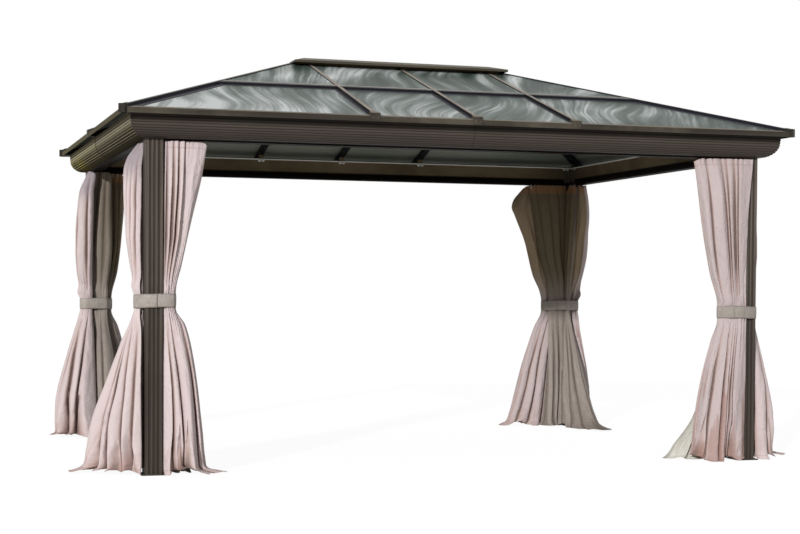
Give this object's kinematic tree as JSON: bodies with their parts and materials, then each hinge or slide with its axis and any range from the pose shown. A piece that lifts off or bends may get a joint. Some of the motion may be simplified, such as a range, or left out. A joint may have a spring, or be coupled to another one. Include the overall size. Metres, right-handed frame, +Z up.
{
  "type": "hardtop garden gazebo",
  "caption": "Four-post metal garden gazebo with a low hipped roof of smoked panels, a ribbed cornice, and curtains and nets tied back at the posts.",
  "frame": {"origin": "on the ground, under the middle of the roof", "axes": "+X along the long side, to the right seen from the front; +Y towards the rear; +Z up"},
  "size_m": [4.975, 3.514, 2.846],
  "materials": {
    "bronze_frame": "dark bronze powder coat, satin",
    "bare_aluminium": "mill finish",
    "smoked_panel": "smoke grey polycarbonate, glossy",
    "curtain_cloth": "rose beige polyester, matt",
    "net_mesh": "grey brown insect netting",
    "tie_cloth": "grey linen-look webbing"
  },
  "bodies": {
    "root": {"bar_end_caps": "bronze_frame", "beam_ledges": "bare_aluminium", "beams": "bronze_frame", "cornice_front": "bronze_frame", "cornice_left": "bronze_frame", "cornice_rear": "bronze_frame", "cornice_right": "bronze_frame", "curtain_front_left": "curtain_cloth", "curtain_front_right": "curtain_cloth", "curtain_left_front": "curtain_cloth", "curtain_left_rear": "curtain_cloth", "curtain_rails": "bronze_frame", "curtain_rear_left": "curtain_cloth", "curtain_rear_right": "curtain_cloth", "curtain_right_front": "curtain_cloth", "curtain_right_rear": "curtain_cloth", "drip_trim_front": "bronze_frame", "drip_trim_left": "bronze_frame", "drip_trim_rear": "bronze_frame", "drip_trim_right": "bronze_frame", "foot_plates": "bronze_frame", "hip_rafter_front_left": "bronze_frame", "hip_rafter_front_right": "bronze_frame", "hip_rafter_rear_left": "bronze_frame", "hip_rafter_rear_right": "bronze_frame", "net_front_left": "net_mesh", "net_front_right": "net_mesh", "net_rear_left": "net_mesh", "net_rear_right": "net_mesh", "post_front_left": "bronze_frame", "post_front_right": "bronze_frame", "post_rear_left": "bronze_frame", "post_rear_right": "bronze_frame", "purlins": "bronze_frame", "rafter_brackets": "bronze_frame", "rafters_front": "bronze_frame", "rafters_left": "bronze_frame", "rafters_rear": "bronze_frame", "rafters_right": "bronze_frame", "ridge_beam": "bronze_frame", "ridge_cap": "bronze_frame", "roof_panels_front": "smoked_panel", "roof_panels_left": "smoked_panel", "roof_panels_rear": "smoked_panel", "roof_panels_right": "smoked_panel", "tie_band_front_left": "tie_cloth", "tie_band_front_right": "tie_cloth", "tie_band_rear_left": "tie_cloth", "tie_band_rear_right": "tie_cloth"}
  },
  "joints": []
}
